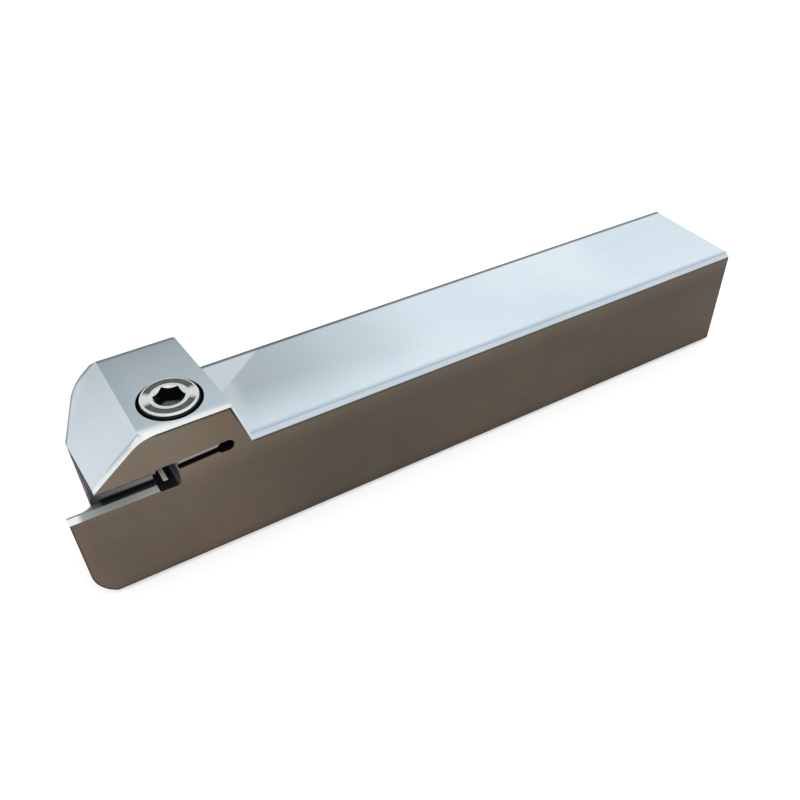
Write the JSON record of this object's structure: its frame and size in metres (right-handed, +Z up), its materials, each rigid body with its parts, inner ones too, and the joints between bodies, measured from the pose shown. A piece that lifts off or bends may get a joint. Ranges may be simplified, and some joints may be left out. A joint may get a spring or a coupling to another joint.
{
  "type": "grooving tool holder",
  "caption": "Square-shank lathe tool holder for grooving and parting inserts, with a slotted spring jaw closed by a socket head clamp screw.",
  "frame": {"origin": "middle of the box's underside, which is the underside of the shank", "axes": "+X along the bar from the cutting end to the shank's end, +Y from the insert's side to the far side, +Z up"},
  "size_m": [0.125, 0.02, 0.0276],
  "materials": {
    "satin_steel": "ground, then satin plated",
    "bright_steel": "bright plated"
  },
  "bodies": {
    "holder": {"holder_body": "satin_steel"},
    "clamp_screw": {"clamp_screw": "bright_steel"}
  },
  "joints": [
    {"name": "clamp_screw_turn", "type": "hinge", "parent": "holder", "child": "clamp_screw", "pos_m": [-0.0446, -0.0044, 0.0226], "axis": [0, 0, 1], "range_deg": [0, 720]}
  ]
}
